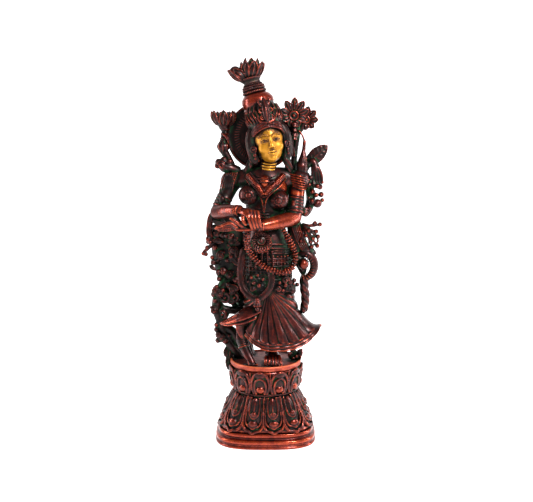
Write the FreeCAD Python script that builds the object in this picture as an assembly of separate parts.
"""A standing temple figure cast in brass: a robed goddess before a tree, on a double-lotus pedestal.

Large figures of this kind are cast as many hollow pieces, scribed to each other and brazed along
their seams; the pedestal is held together by a threaded rod and closed below with a screwed cover.
Every casting, ornament and fastener here is its own closed solid.
Frame: millimetres, +Z up, the figure faces -Y, and the origin is the middle of the pedestal's underside.
Left and right are the figure's own, so its left hand is on the +X side.
"""
import math
import os

import FreeCAD
import Part

V = FreeCAD.Vector

# ---------------------------------------------------------------- driving dimensions, pedestal
plinth_length = 164.0          # along X
plinth_depth = 124.0           # along Y
plinth_height = 24.0
plinth_wall = 6.0
plinth_step = 5.0              # how far the upper tread stands in from the foot
plinth_squareness = 3.0        # superellipse power of the plan: 2 is an ellipse, more is squarer
foot_bead_height = 4.0         # the proud lip at the very bottom
tread_height = 14.0            # where the upper tread starts
cove_depth = 1.6               # how far the cove between lip and tread stands in
cover_thickness = 2.5
cover_clearance = 0.2
cover_screw_radius = 2.0
cover_screw_length = 8.0
cover_screw_head = 3.6
post_radius = 5.0              # the posts that the cover screws bite
post_bite = 1.5                # how deep a post stands in the plinth's wall
bridge_seat = 9.0              # height of the underside of the bridge bar
bell_height = 58.0
bell_margin = 2.0              # how far the bell's foot stands in from the tread
bell_wall = 4.0
bell_waist_x = 52.0            # half widths where the bell meets the waist ring
bell_waist_y = 48.0
waist_ring_height = 5.0
waist_ring_proud = 1.6
bowl_height = 36.0
bowl_wall = 4.0
deck_half_x = 57.5
deck_half_y = 54.0
deck_thickness = 6.0
deck_rim_height = 3.0
deck_rim_width = 3.0
bowl_set_in = 2.5              # the bowl's lip stands in from the deck's edge
tie_rod_radius = 4.0
tie_clearance = 0.3
bridge_width = 22.0
bridge_thickness = 5.0
nut_height = 4.0
rod_proud = 0.4                # how far the rod's end stands out of its nut
nut_radius = 7.5
washer_radius = 9.0
washer_thickness = 1.6

# ---------------------------------------------------------------- driving dimensions, figure
skirt_wall = 4.0
hips_solid = 32.0              # the skirt is solid for this far below the hips
leg_socket = 8.0               # how deep the legs sit in that solid top
hip_height = 172.0             # all figure heights are measured up from the deck's floor
waist_height = 217.0
bust_height = 266.0
shoulder_height = 294.0
shoulder_half = 52.0
neck_height = 22.0
neck_radius = 12.0
neck_ring_radius = 1.3
neck_ring_count = 5
head_half_width = 23.5
head_half_depth = 26.0
head_half_height = 34.0
head_tilt = 10.5               # degrees, the crown end leaning towards -X
hair_thickness = 8.0
halo_radius = 54.0
halo_thickness = 4.0
halo_rim = 3.0
halo_bite = 2.2                # how deep the back of the hair is let into the halo
halo_stud_grip = 8.0           # how far the stud reaches into the hair
halo_stud_radius = 3.0
halo_nut_radius = 6.0
halo_nut_height = 4.5
dome_half_width = 25.5
dome_half_height = 19.0
collar_height = 22.0
lotus_height = 29.5
lotus_radius = 24.0
upper_arm_radius = 12.5
forearm_radius = 11.5
wrist_radius = 7.0
band_proud = 2.5               # how far armlets, bangles and anklets stand out from the limb
garland_radius = 4.5
trunk_radius = 10.0

# ---------------------------------------------------------------- heights that follow from them
bell_base = plinth_height
ring_base = bell_base + bell_height
bowl_base = ring_base + waist_ring_height
deck_base = bowl_base + bowl_height
deck_floor = deck_base + deck_thickness


def at(x, y, z):
    """A point of the figure, its height measured from the deck's floor."""
    return V(x, y, deck_floor + z)


def hips(x, y, z):
    """A point measured from the height where the skirt meets the torso."""
    return at(x, y, hip_height + z)


def chest(x, y, z):
    """A point measured from the shoulders' height."""
    return at(x, y, shoulder_height + z)


# ---------------------------------------------------------------- shape helpers
def oval(centre, half_x, half_y, power=2.0, points=24, scallops=0, depth=0.0):
    """A closed horizontal curve: a superellipse, with scallops of the given depth round it if asked for."""
    spots = []
    for i in range(points):
        angle = 2 * math.pi * i / points
        c = math.cos(angle)
        s = math.sin(angle)
        grow = 1 + depth * math.cos(scallops * angle)
        x = half_x * grow * math.copysign(abs(c) ** (2 / power), c)
        y = half_y * grow * math.copysign(abs(s) ** (2 / power), s)
        spots.append(centre + V(x, y, 0))
    curve = Part.BSplineCurve()
    curve.interpolate(spots, PeriodicFlag=True)
    return Part.Wire([curve.toShape()])


def loft(wires):
    return Part.makeLoft(wires, True, False)


tube_points = 12


def tube(path, radii, flat=1.0, up=V(0, 1, 0)):
    """A round or flattened limb through the points of a path, with one radius for each point.

    flat scales the radius along up, so 0.4 gives a strap and 1 a round section."""
    wires = []
    for i, spot in enumerate(path):
        before = path[max(i - 1, 0)]
        after = path[min(i + 1, len(path) - 1)]
        along = (after - before).normalize()
        side = along.cross(up).normalize()
        lift = side.cross(along).normalize()
        ring = []
        for k in range(tube_points):
            angle = 2 * math.pi * k / tube_points
            across = side * (radii[i] * math.cos(angle))
            ring.append(spot + across + lift * (radii[i] * flat * math.sin(angle)))
        curve = Part.BSplineCurve()
        curve.interpolate(ring, PeriodicFlag=True)
        wires.append(Part.Wire([curve.toShape()]))
    return loft(wires)


def ellipsoid(centre, half_x, half_y, half_z, axis=V(0, 1, 0), turn=0.0):
    matrix = FreeCAD.Matrix()
    matrix.scale(half_x, half_y, half_z)
    ball = Part.makeSphere(1.0).transformGeometry(matrix)
    ball.rotate(V(0, 0, 0), axis, turn)
    ball.translate(centre)
    return ball


def cup(base, tip, foot_radius, rim_radius, wall):
    """A flower's cup: solid at the stem, open at the rim, with its axis from base to tip."""
    axis = (tip - base).normalize()
    up = V(0, 1, 0)
    middle = base + (tip - base) * 0.55
    outer = tube([base, middle, tip], [foot_radius, rim_radius * 0.82, rim_radius], up=up)
    inner_base = base + axis * (3 * wall)
    inner_tip = tip + axis * wall
    inner = tube([inner_base, middle, inner_tip],
                 [foot_radius - wall, rim_radius * 0.82 - wall, rim_radius - wall], up=up)
    return outer.cut(inner)


def hexagon(centre, radius, height):
    corners = [centre + V(radius * math.cos(math.pi * k / 3), radius * math.sin(math.pi * k / 3), 0)
               for k in range(7)]
    return Part.Face(Part.makePolygon(corners)).extrude(V(0, 0, height))


def mid(a, b, share):
    return a + (b - a) * share


# ---------------------------------------------------------------- pedestal
def plinth_plan(z, inset, power=plinth_squareness):
    return oval(V(0, 0, z), plinth_length / 2 - inset, plinth_depth / 2 - inset, power)


def slab(low, high, inset):
    return Part.Face(plinth_plan(low, inset)).extrude(V(0, 0, high - low))


def make_plinth():
    """The foot: a proud lip, a cove and an upper tread, hollow, with a rebate below for the cover."""
    body = slab(0, foot_bead_height, 0)
    cove = slab(foot_bead_height, tread_height, cove_depth)
    tread = slab(tread_height, plinth_height, plinth_step)
    hollow = slab(bridge_seat + bridge_thickness, plinth_height, plinth_step + plinth_wall)
    lower = slab(0.0, bridge_seat + bridge_thickness, plinth_wall + cove_depth)
    shell = body.fuse(cove).fuse(tread).cut(hollow).cut(lower)
    for spot in cover_screw_spots():
        shell = shell.fuse(make_cover_post(spot))
    return shell


def make_cover():
    """The sheet-brass plate that closes the underside, flush with the foot."""
    plate = slab(0, cover_thickness, plinth_wall + cove_depth + cover_clearance)
    for spot in cover_screw_spots():
        head_room = Part.makeCylinder(cover_screw_head + cover_clearance, cover_thickness, spot)
        plate = plate.cut(head_room)
    return plate


def cover_screw_spots():
    """The screws stand on a diagonal of the plan, just inside its wall."""
    inset = plinth_wall + cove_depth + post_radius - post_bite
    angle = math.radians(45)
    share = abs(math.cos(angle)) ** (2 / plinth_squareness)
    x = (plinth_length / 2 - inset) * share
    y = (plinth_depth / 2 - inset) * share
    return [V(sx * x, sy * y, 0) for sx in (-1, 1) for sy in (-1, 1)]


def make_cover_post(spot):
    """A tapped post, cast against the plinth's wall, that a cover screw bites."""
    foot = V(spot.x, spot.y, cover_thickness)
    post = Part.makeCylinder(post_radius, tread_height - cover_thickness, foot)
    return post.cut(Part.makeCylinder(cover_screw_radius, cover_screw_length, foot))


def make_cover_screws():
    """Four cheese-head screws, their heads flush with the cover, as one group."""
    screws = []
    for spot in cover_screw_spots():
        head = Part.makeCylinder(cover_screw_head, cover_thickness, spot)
        shank = Part.makeCylinder(cover_screw_radius, cover_screw_length, spot + V(0, 0, cover_thickness))
        screws.append(head.fuse(shank))
    return Part.makeCompound(screws)


def bell_sections(inset):
    """The bell's outline in four ovals, full and square at the foot, round at the waist."""
    foot_x = plinth_length / 2 - plinth_step - bell_margin - inset
    foot_y = plinth_depth / 2 - plinth_step - bell_margin - inset
    waist_x = bell_waist_x - inset
    waist_y = bell_waist_y - inset
    shares = [(0.0, 0.0, plinth_squareness), (0.40, 0.36, 2.6), (0.78, 0.80, 2.2), (1.0, 1.0, 2.0)]
    wires = []
    for rise, lean, power in shares:
        half_x = foot_x + (waist_x - foot_x) * lean
        half_y = foot_y + (waist_y - foot_y) * lean
        wires.append(oval(V(0, 0, bell_base + bell_height * rise), half_x, half_y, power))
    return wires


def make_bell():
    """The hollow bell with the round bead at its waist."""
    shell = loft(bell_sections(0)).cut(loft(bell_sections(bell_wall)))
    return shell.fuse(make_waist_bead())


def make_waist_bead():
    low = oval(V(0, 0, ring_base), bell_waist_x, bell_waist_y)
    middle = oval(V(0, 0, ring_base + waist_ring_height / 2),
                  bell_waist_x + waist_ring_proud, bell_waist_y + waist_ring_proud)
    high = oval(V(0, 0, bowl_base), bell_waist_x, bell_waist_y)
    ring = loft([low, middle, high])
    bore = Part.Face(oval(V(0, 0, ring_base), bell_waist_x - bell_wall, bell_waist_y - bell_wall))
    return ring.cut(bore.extrude(V(0, 0, waist_ring_height)))


def bowl_sections(inset):
    lip_x = deck_half_x - bowl_set_in
    lip_y = deck_half_y - bowl_set_in
    rows = [(0.0, bell_waist_x, bell_waist_y),
            (0.45, mean(bell_waist_x, lip_x) + 2.5, mean(bell_waist_y, lip_y) + 2.5),
            (1.0, lip_x, lip_y)]
    return [oval(V(0, 0, bowl_base + bowl_height * rise), a - inset, b - inset) for rise, a, b in rows]


def mean(a, b):
    return (a + b) / 2


def make_bowl():
    return loft(bowl_sections(0)).cut(loft(bowl_sections(bowl_wall)))


def make_deck():
    """The plate the figure stands on, with a raised rim and a boss below for the tie rod."""
    edge = oval(V(0, 0, deck_base), deck_half_x, deck_half_y)
    plate = Part.Face(edge).extrude(V(0, 0, deck_thickness + deck_rim_height))
    floor = Part.Face(oval(V(0, 0, deck_floor), deck_half_x - deck_rim_width, deck_half_y - deck_rim_width))
    plate = plate.cut(floor.extrude(V(0, 0, deck_rim_height)))
    boss = Part.makeCylinder(2.4 * tie_rod_radius, deck_thickness, V(0, 0, deck_base - deck_thickness))
    tapped = Part.makeCylinder(tie_rod_radius, 1.6 * deck_thickness, V(0, 0, deck_base - deck_thickness))
    return plate.fuse(boss).cut(tapped)


def make_tie_rod():
    low = bridge_seat - washer_thickness - nut_height - rod_proud
    high = deck_base + 0.6 * deck_thickness
    return Part.makeCylinder(tie_rod_radius, high - low, V(0, 0, low))


def make_bridge():
    """A bar across the hollow of the plinth; the tie rod's nut pulls the pedestal together against it."""
    reach = slab(bridge_seat, bridge_seat + bridge_thickness, plinth_wall + cove_depth)
    strip = Part.makeBox(plinth_length, bridge_width, bridge_thickness,
                         V(-plinth_length / 2, -bridge_width / 2, bridge_seat))
    hole = Part.makeCylinder(tie_rod_radius + tie_clearance, bridge_thickness, V(0, 0, bridge_seat))
    return reach.common(strip).cut(hole)


def make_washer():
    foot = V(0, 0, bridge_seat - washer_thickness)
    disc = Part.makeCylinder(washer_radius, washer_thickness, foot)
    return disc.cut(Part.makeCylinder(tie_rod_radius, washer_thickness, foot))


def make_nut():
    foot = V(0, 0, bridge_seat - washer_thickness - nut_height)
    body = hexagon(foot, nut_radius, nut_height)
    return body.cut(Part.makeCylinder(tie_rod_radius, nut_height, foot))


# ---------------------------------------------------------------- skirt and legs
skirt_rows = [  # height, centre x, centre y, half x, half y
    (hip_height, 3.0, 2.0, 40.0, 30.0),
    (hip_height - hips_solid, 3.0, 0.0, 43.0, 34.0),
    (0.63 * hip_height, 4.0, 0.0, 40.0, 32.0),
    (0.465 * hip_height, 7.0, 0.0, 54.0, 35.0),
    (0.28 * hip_height, 10.5, 0.0, 84.0, 43.0),
    (0.08 * hip_height, 12.0, 0.0, 104.0, 48.0),
]
leg_top = hip_height - hips_solid + leg_socket
pleat_count = 12
pleat_depth = 0.04             # as a share of the skirt's half width
pleat_top = 0.6 * hip_height
hem_low = 24.0                 # the hem's lowest point above the deck
hem_curve_radius = 118.0       # the hem rises to both sides along an arc of this radius
hem_centre_x = 10.0


def skirt_wires(inset):
    """The pleats run out towards the hip and are left off the hollow side."""
    wires = []
    for z, x, y, a, b in skirt_rows:
        depth = pleat_depth if z < pleat_top and inset == 0 else 0.0
        wires.append(oval(at(x, y, z), a - inset, b - inset, 2.0, 6 * pleat_count, pleat_count, depth))
    return wires


def make_skirt():
    """A hollow pleated bell whose hem is cut along a smile-shaped arc."""
    shell = loft(skirt_wires(0))
    hollow = loft(skirt_wires(skirt_wall)[1:])
    centre = at(hem_centre_x, -80.0, hem_low + hem_curve_radius)
    arc = Part.makeCylinder(hem_curve_radius, 160.0, centre, V(0, 1, 0))
    above = Part.makeBox(240, 160, 240, at(-120, -80, hem_low + hem_curve_radius))
    return shell.cut(hollow).common(arc.fuse(above))


def above_deck(shape):
    return shape.cut(Part.makeBox(2 * deck_half_x, 2 * deck_half_y, 40, at(-deck_half_x, -deck_half_y, -40)))


def make_standing_leg():
    """The straight leg, with the foot turned to the front; its top sits in a socket inside the skirt."""
    path = [at(10, -22, 4), at(9, -20, 16), at(8, -12, 48), at(9, -6, 84), at(13, 0, 116),
            at(15, 0, leg_top)]
    leg = tube(path, [8.0, 8.0, 11.0, 12.5, 12.5, 12.0])
    foot = ellipsoid(at(11, -32, 5.5), 12.5, 19.0, 8.5)
    return above_deck(leg.fuse(foot))


def make_crossed_leg():
    """The leg that crosses behind, its foot pointing down at the figure's right."""
    path = [at(-20, -34, 1.0), at(-25, -31, 10), at(-29, -26, 26), at(-34, -14, 52),
            at(-22, -6, 84), at(-15, -1, 116), at(-13, 0, leg_top)]
    return above_deck(tube(path, [5.0, 6.5, 6.5, 9.0, 10.5, 11.0, 11.0]))


# ---------------------------------------------------------------- torso, arms and hands
def make_torso():
    rows = [(hip_height, 3.0, 2.0, 40.0, 30.0),
            (mean(hip_height, waist_height), 1.0, 0.0, 32.0, 25.0),
            (waist_height, -1.0, -3.0, 26.0, 21.0),
            (bust_height - 22, -1.0, -5.0, 31.0, 24.0),
            (bust_height, 0.0, -5.0, 38.0, 26.0),
            (shoulder_height - 8, 0.0, -2.0, shoulder_half - 11, 23.0),
            (shoulder_height + 5, 1.0, -1.0, shoulder_half - 22, 17.0),
            (shoulder_height + 12, 3.0, -2.0, neck_radius + 2.0, neck_radius + 1.0)]
    body = loft([oval(at(x, y, z), a, b) for z, x, y, a, b in rows])
    left = ellipsoid(at(20, -23, bust_height - 4), 16.5, 15.0, 16.5)
    right = ellipsoid(at(-24, -21, bust_height + 4), 16.0, 15.0, 16.0)
    return body.fuse(left).fuse(right)


left_shoulder = chest(shoulder_half, 2, -2)
left_elbow = chest(44, -12, -60)
left_wrist = chest(-12, -50, -71)
right_shoulder = chest(-shoulder_half, 2, -2)
right_elbow = chest(-76, -8, -52)
right_wrist = chest(-34, -52, -48)


def make_left_upper_arm():
    bend = mid(left_shoulder, left_elbow, 0.5) + V(2, 1, 0)
    radii = [upper_arm_radius, upper_arm_radius - 1, forearm_radius]
    return tube([left_shoulder, bend, left_elbow], radii)


def make_right_upper_arm():
    bend = mid(right_shoulder, right_elbow, 0.5) + V(2, 1, 0)
    radii = [upper_arm_radius, upper_arm_radius - 1, forearm_radius]
    return tube([right_shoulder, bend, right_elbow], radii)


def make_left_forearm():
    start = left_elbow + V(1, 1, -1)
    return tube([start, mid(left_elbow, left_wrist, 0.35) + V(0, -3, -1), left_wrist],
                [forearm_radius, forearm_radius, wrist_radius], up=V(0, 0, 1))


def make_right_forearm():
    start = right_elbow + V(-3, 2, 0)
    return tube([start, mid(right_elbow, right_wrist, 0.4) + V(0, -3, 0), right_wrist],
                [forearm_radius, forearm_radius - 1, wrist_radius], up=V(0, 0, 1))


def make_left_hand():
    """The open hand beyond the wrist, palm up, fingers pointing to -X."""
    steps = [V(0, 0, 0), V(-18, -1, -2), V(-40, 2, -1), V(-62, 5, 2)]
    path = [left_wrist + step for step in steps]
    return tube(path, [wrist_radius, 9.0, 8.0, 2.5], flat=0.55, up=V(0, 0, 1))


def make_right_hand():
    """The hand laid over the other wrist, fingers drooping."""
    steps = [V(0, 0, 0), V(10, -9, -4), V(17, -11, -15), V(19, -9, -28)]
    path = [right_wrist + step for step in steps]
    return tube(path, [wrist_radius, 9.0, 8.0, 4.0], flat=0.5, up=V(0, -1, 0.6))


def band(path_start, path_end, radius):
    """A round band about a limb; it is bored out when it is scribed to the limb."""
    return tube([path_start, path_end], [radius, radius])


def make_left_sleeve():
    return ellipsoid(left_shoulder + V(1, -1, -1), 18.0, 18.0, 19.0)


def make_right_sleeve():
    return ellipsoid(right_shoulder + V(-2, -1, -3), 18.5, 18.0, 20.0)


def make_left_armlet():
    radius = upper_arm_radius + band_proud
    return band(mid(left_shoulder, left_elbow, 0.46), mid(left_shoulder, left_elbow, 0.80), radius)


def make_right_armlet():
    radius = upper_arm_radius + band_proud
    return band(mid(right_shoulder, right_elbow, 0.50), mid(right_shoulder, right_elbow, 0.76), radius)


def make_left_bracelet():
    radius = wrist_radius + 1.2 * band_proud
    return band(mid(left_elbow, left_wrist, 0.80), mid(left_elbow, left_wrist, 0.95), radius)


def make_right_bracelet():
    radius = wrist_radius + 1.2 * band_proud
    return band(mid(right_elbow, right_wrist, 0.74), mid(right_elbow, right_wrist, 0.92), radius)


def make_left_anklet():
    return band(at(9.2, -19.6, 15), at(8.8, -18.6, 22), 8.5 + 1.4 * band_proud)


def make_right_anklet():
    return band(at(-27.6, -28, 20), at(-29.8, -25, 28), 6.5 + 1.2 * band_proud)


# ---------------------------------------------------------------- neck, head and crown
neck_foot = at(3, -4, shoulder_height + 7)
neck_top = neck_foot + V(2, -5, neck_height)
head_centre = neck_top + V(-1, -5, head_half_height - 4)
tilt = math.radians(head_tilt)


def on_head(x, y, z):
    """A point given in the head's own leaning frame, about the head's centre."""
    across = x * math.cos(tilt) - z * math.sin(tilt)
    rise = x * math.sin(tilt) + z * math.cos(tilt)
    return head_centre + V(across, y, rise)


def leaning(centre, half_x, half_y, half_z):
    """An ellipsoid that leans with the head."""
    return ellipsoid(centre, half_x, half_y, half_z, V(0, 1, 0), -head_tilt)


def make_neck():
    """The neck with the ring folds of a temple figure."""
    neck = tube([neck_foot, neck_top], [neck_radius, neck_radius - 1.5])
    for k in range(neck_ring_count):
        share = (k + 0.5) / neck_ring_count
        spot = mid(neck_foot, neck_top, share)
        radius = neck_radius - 1.5 * share
        neck = neck.fuse(Part.makeTorus(radius, neck_ring_radius, spot, neck_top - neck_foot))
    return neck


def make_face():
    """The polished face: a plain egg with a nose ridge; its features are modelled in the finished mesh."""
    egg = leaning(head_centre, head_half_width, head_half_depth, head_half_height)
    jaw = leaning(on_head(0, -4, -14), 0.78 * head_half_width, 0.8 * head_half_depth,
                  0.62 * head_half_height)
    nose = tube([on_head(0, -head_half_depth + 1, 4), on_head(0, -head_half_depth - 2.5, -7)], [2.0, 3.2])
    return egg.fuse(jaw).fuse(nose)


def make_hair():
    """The cap of hair behind the face, open at the front."""
    cap = leaning(on_head(0, 8, 2), head_half_width + hair_thickness, head_half_depth + 2,
                  head_half_height + hair_thickness - 2)
    front = Part.makeBox(160, 80, 160, head_centre + V(-80, -88, -80))
    front.rotate(head_centre, V(0, 1, 0), -head_tilt)
    return cap.cut(front)


def make_tress(side):
    path = [on_head(side * 24, 6, -14), on_head(side * 27, 6, -30), at(side * 30, 4, shoulder_height + 8)]
    return tube(path, [9.0, 8.5, 8.0])


dome_centre = on_head(-2, 10, 60.5)


def make_crown_cap():
    """The tapering cap of the crown, between the brow band and the dome."""
    leaned = [on_head(0, 0, 20), on_head(0, 2, 33), on_head(-1, 6, 45), on_head(-2, 9, 56)]
    brow = head_half_width + hair_thickness
    return tube(leaned, [brow, brow, 0.83 * brow, 0.6 * brow])


def make_crown_crest():
    """The upright leaf at the front of the crown."""
    return tube([on_head(0, -26, 26), on_head(0, -25, 38), on_head(0, -21, 52), on_head(0, -16, 66)],
                [6.0, 9.0, 7.0, 1.5], flat=0.4, up=V(0, 1, 0))


def make_dome():
    return leaning(dome_centre, dome_half_width, dome_half_width - 1.5, dome_half_height)


collar_foot = dome_centre + V(-4, 0, dome_half_height - 4)
collar_top = collar_foot + V(-5, 0, collar_height)
lotus_tip = collar_top + V(-5, 0, lotus_height - 1)


def make_collar():
    path = [mid(collar_foot, collar_top, share) for share in (0.0, 0.35, 0.7, 0.86, 1.0)]
    return tube(path, [16.5, 14.0, 11.0, 12.5, 13.5])


def make_finial_lotus():
    return cup(collar_top, lotus_tip, 12.5, lotus_radius, 2.5)


hair_back = head_centre.y + 8 + head_half_depth + 2
halo_centre = V(-8, hair_back + halo_thickness / 2 - halo_bite, head_centre.z + 8.0)


def make_halo():
    """The round plate behind the head, with a raised rim."""
    face = halo_centre - V(0, halo_thickness / 2, 0)
    disc = Part.makeCylinder(halo_radius, halo_thickness, face, V(0, 1, 0))
    disc = disc.cut(Part.makeCylinder(halo_radius - 2 * halo_rim, halo_thickness / 4, face, V(0, 1, 0)))
    return disc.fuse(Part.makeTorus(halo_radius - halo_rim, halo_rim, halo_centre, V(0, 1, 0)))


def make_halo_stud():
    start = halo_centre - V(0, halo_thickness / 2 + halo_stud_grip, 0)
    length = halo_stud_grip + halo_thickness + halo_nut_height + 1.5
    return Part.makeCylinder(halo_stud_radius, length, start, V(0, 1, 0))


def make_halo_nut():
    nut = hexagon(V(0, 0, 0), halo_nut_radius, halo_nut_height)
    nut.rotate(V(0, 0, 0), V(1, 0, 0), -90)
    nut.translate(halo_centre + V(0, halo_thickness / 2, 0))
    return nut


# ---------------------------------------------------------------- ornaments on the body
def make_necklace():
    path = [chest(-26, -12, 9), chest(-17, -27, -6), chest(-2, -33, -23),
            chest(13, -27, -6), chest(26, -12, 9)]
    return tube(path, [4.5] * len(path), up=V(0, -1, 0.2))


def make_belt():
    low = oval(at(2, 1, hip_height + 4), 42.0, 32.5)
    high = oval(at(1, 0, hip_height + 18), 38.5, 30.0)
    return loft([low, high])


def evenly(path, count):
    """The same path with evenly spaced points, so that a long string lofts without ripples."""
    curve = Part.BSplineCurve()
    curve.interpolate(path)
    return curve.toShape().discretize(count)


def make_garland():
    """The long flower garland that falls from the arms and crosses the hips."""
    right_end = left_wrist + V(-14, 2, -5)
    left_end = left_wrist + V(36, 22, -4)
    path = [right_end, right_end + V(-3, 6, -14), hips(-26, -34, 12), hips(-12, -34.5, -7),
            hips(8, -35, -19), hips(28, -32, -23), hips(43, -25, -14), hips(47, -22, 3),
            left_end + V(14, 4, -25), left_end]
    path = evenly(path, 14)
    return tube(path, [garland_radius] * len(path), up=V(0, -1, 0.1))


def make_sash():
    """The flat sash loop below the garland."""
    path = [hips(-36, -20, -4), hips(-40, -24, -27), hips(-37, -27, -44), hips(-27, -32, -58),
            hips(-12, -36, -63), hips(2, -37, -54), hips(9, -37, -38), hips(8, -36, -22)]
    return tube(path, [5.0] * len(path), flat=0.7, up=V(0, -1, 0.1))


def make_tassel():
    return tube([hips(-13, -37, -66), hips(-13, -39, -72), hips(-13, -39, -79)], [4.0, 6.5, 2.5])


def make_side_scarf():
    """The scarf end at the left hip: cloth, a curled end and a twisted tail."""
    path = [at(46, 2, 214), at(55, 0, 196), at(62, -4, 180), at(70, -6, 168), at(69, -6, 152),
            at(64, -4, 138), at(62, -3, 118), at(64, -3, 100), at(60, -3, 82)]
    return tube(path, [8.0, 9.0, 7.5, 6.5, 7.0, 6.0, 5.0, 6.0, 5.0])


# ---------------------------------------------------------------- the tree behind
def make_trunk():
    path = [at(-30, 31, 0), at(-40, 34, 50), at(-38, 36, 110), at(-30, 34, 170),
            at(-24, 30, 240), at(-18, 25, 316)]
    return tube(path, [trunk_radius - slim for slim in (0, 1, 0, 0, 1, 3)])


def make_foliage():
    """The mass of blossoms between the trunk and the figure's right side."""
    upper = ellipsoid(at(-66, 12, 196), 27.0, 16.0, 38.0)
    middle = ellipsoid(at(-63, 14, 142), 24.0, 15.0, 34.0)
    link = tube([at(-54, 20, 150), at(-38, 32, 150)], [12.0, 8.0])
    return upper.fuse(middle).fuse(link)


def make_vine():
    """The bent vine that rises from the deck's edge to the blossoms."""
    path = [at(-46, 20, 0), at(-58, 16, 14), at(-70, 10, 38), at(-76, 8, 62), at(-84, 8, 84),
            at(-78, 9, 106), at(-70, 12, 128)]
    return tube(path, [7.0, 7.0, 8.0, 8.0, 7.0, 8.0, 9.0])


def make_drape():
    """The scarf fall below the right elbow."""
    path = [at(-80, 0, 240), at(-88, 2, 224), at(-86, 4, 206), at(-90, 6, 188)]
    return tube(path, [7.0, 6.0, 6.0, 7.0])


def make_knob_spray():
    """The small buds that stand out at the far right side of the figure."""
    return tube([at(-88, 6, 192), at(-95, 6, 184), at(-100, 5, 176)], [4.5, 3.0, 4.5])


def make_right_branch():
    """The branch that carries the lotus at the figure's right, with a tied ribbon."""
    path = [at(-52, 14, 296), at(-64, 14, 312), at(-73, 12, 330), at(-69, 10, 352), at(-68, 10, 374)]
    return tube(path, [8.0, 7.0, 7.5, 6.5, 7.0])


def make_right_lotus():
    return cup(at(-66, 10, 372), at(-74, 9, 401), 8.0, 18.0, 2.5)


def make_left_branch():
    path = [at(50, 14, 294), at(56, 13, 318), at(49, 11, 345), at(46, 9, 374)]
    return tube(path, [9.0, 7.0, 6.0, 7.0])


def make_left_flowers():
    """The two open flowers at the figure's left, with the pendant that hangs from them."""
    inner = cup(at(44, 7, 370), at(39, 3, 402), 8.0, 17.0, 2.5)
    outer = cup(at(53, 8, 376), at(70, 6, 396), 6.5, 16.0, 2.5)
    path = [at(60, 8, 380), at(57, 9, 358), at(55, 10, 340), at(58, 10, 325)]
    pendant = tube(path, [3.0, 2.6, 5.0, 9.0])
    return inner.fuse(outer).fuse(pendant)


def make_leaf():
    """The single leaf that stands out over the left shoulder."""
    return tube([at(60, 9, 314), at(72, 9, 330), at(84, 9, 340), at(96, 9, 348)],
                [4.0, 9.5, 10.0, 2.0], flat=0.35, up=V(0, 1, 0))


def make_bell_flower():
    return cup(at(74, 8, 322), at(84, 5, 291), 5.0, 10.5, 2.2)


def make_berry_bunch():
    path = [at(72, 8, 300), at(80, 6, 286), at(80, 5, 268), at(70, 2, 250), at(63, -2, 236)]
    return tube(path, [5.0, 9.0, 9.5, 8.5, 7.0])


def make_berry_spray():
    stem = tube([at(58, -2, 226), at(66, -4, 212), at(78, -4, 203), at(88, -4, 197)], [7.0, 9.0, 8.0, 5.0])
    upper = tube([at(70, -4, 214), at(80, -4, 220), at(90, -4, 226)], [4.0, 3.0, 4.0])
    return stem.fuse(upper)


def make_shoulder_curl():
    """The curled leaf over the right shoulder."""
    return tube([at(-50, 8, 306), at(-62, 4, 312), at(-74, 2, 318), at(-79, 0, 310)],
                [7.0, 7.5, 6.0, 3.0], flat=0.6)


def make_deck_tuft():
    """The leaf tuft at the deck's left edge."""
    return above_deck(ellipsoid(at(47, 0, 5), 10.0, 12.0, 15.0))


# ---------------------------------------------------------------- assembly
# These meet each other on the flat seats that they were drawn with.
turned_pieces = [
    ("tie_rod", make_tie_rod),
    ("tie_nut", make_nut),
    ("tie_washer", make_washer),
    ("bridge_bar", make_bridge),
    ("cover_screws", make_cover_screws),
    ("base_cover", make_cover),
    ("base_plinth", make_plinth),
    ("lower_lotus_bell", make_bell),
    ("upper_lotus_bowl", make_bowl),
    ("deck_plate", make_deck),
]
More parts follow.
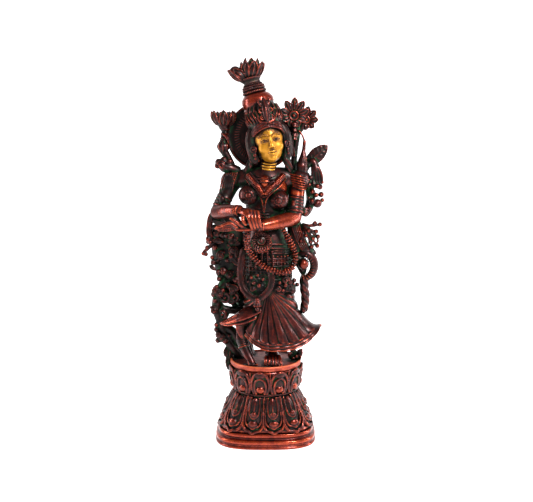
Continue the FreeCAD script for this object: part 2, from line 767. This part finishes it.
# The order is the order of scribing: each casting is fitted to all those above it in the list.
scribed_pieces = [
    ("halo_stud", make_halo_stud),
    ("standing_leg", make_standing_leg),
    ("crossed_leg", make_crossed_leg),
    ("left_anklet", make_left_anklet),
    ("right_anklet", make_right_anklet),
    ("skirt", make_skirt),
    ("torso", make_torso),
    ("belt", make_belt),
    ("neck", make_neck),
    ("face", make_face),
    ("left_upper_arm", make_left_upper_arm),
    ("left_forearm", make_left_forearm),
    ("left_hand", make_left_hand),
    ("right_upper_arm", make_right_upper_arm),
    ("right_forearm", make_right_forearm),
    ("right_hand", make_right_hand),
    ("left_armlet", make_left_armlet),
    ("right_armlet", make_right_armlet),
    ("left_bracelet", make_left_bracelet),
    ("right_bracelet", make_right_bracelet),
    ("left_sleeve", make_left_sleeve),
    ("right_sleeve", make_right_sleeve),
    ("crown_cap", make_crown_cap),
    ("hair", make_hair),
    ("halo", make_halo),
    ("halo_nut", make_halo_nut),
    ("crown_dome", make_dome),
    ("crown_crest", make_crown_crest),
    ("finial_collar", make_collar),
    ("finial_lotus", make_finial_lotus),
    ("left_tress", lambda: make_tress(1)),
    ("right_tress", lambda: make_tress(-1)),
    ("necklace", make_necklace),
    ("garland", make_garland),
    ("sash_loop", make_sash),
    ("tassel", make_tassel),
    ("tree_trunk", make_trunk),
    ("blossom_mass", make_foliage),
    ("bent_vine", make_vine),
    ("right_branch", lambda: make_right_branch().fuse(make_shoulder_curl())),
    ("right_lotus", make_right_lotus),
    ("left_branch", make_left_branch),
    ("left_flowers", make_left_flowers),
    ("shoulder_leaf", make_leaf),
    ("bell_flower", make_bell_flower),
    ("berry_bunch", make_berry_bunch),
    ("side_scarf", make_side_scarf),
    ("berry_spray", make_berry_spray),
    ("scarf_fall", lambda: make_drape().fuse(make_knob_spray())),
    ("deck_tuft", make_deck_tuft),
]
already_met = {("torso", "skirt")}     # these two share a flat seat at the hips
mesh_step = 1.0                        # coarseness, for finding neighbours only
crumb_share = 0.06


def reach(shape):
    box = FreeCAD.BoundBox()
    for point in shape.tessellate(mesh_step)[0]:
        box.add(point)
    return box


def scribe(name, shape, standing):
    """Cuts away what the castings already standing fill, and drops crumbs too small to cast."""
    space = reach(shape)
    for other_name, other, other_space in standing:
        if (name, other_name) in already_met or not space.intersect(other_space):
            continue
        shape = shape.cut(other)
    solids = [s for s in shape.Solids if s.Volume > crumb_share * shape.Volume]
    return solids[0] if len(solids) == 1 else Part.makeCompound(solids)


def keep(name, shape):
    shape.exportStep(f"parts/{name}.step")
    box = reach(shape)
    print(f"{name:18s} solids {len(shape.Solids)} valid {shape.isValid()}"
          f" volume {shape.Volume / 1000:8.2f} cm3 x {box.XMin:6.1f} {box.XMax:6.1f}"
          f" y {box.YMin:6.1f} {box.YMax:6.1f} z {box.ZMin:6.1f} {box.ZMax:6.1f}", flush=True)
    return (name, shape, box)


def build():
    os.makedirs("parts", exist_ok=True)
    made = [keep(name, make()) for name, make in turned_pieces]
    standing = [made[-1]]              # of the pedestal, the figure meets only the deck
    for name, make in scribed_pieces:
        standing.append(keep(name, scribe(name, make(), standing)))


build()
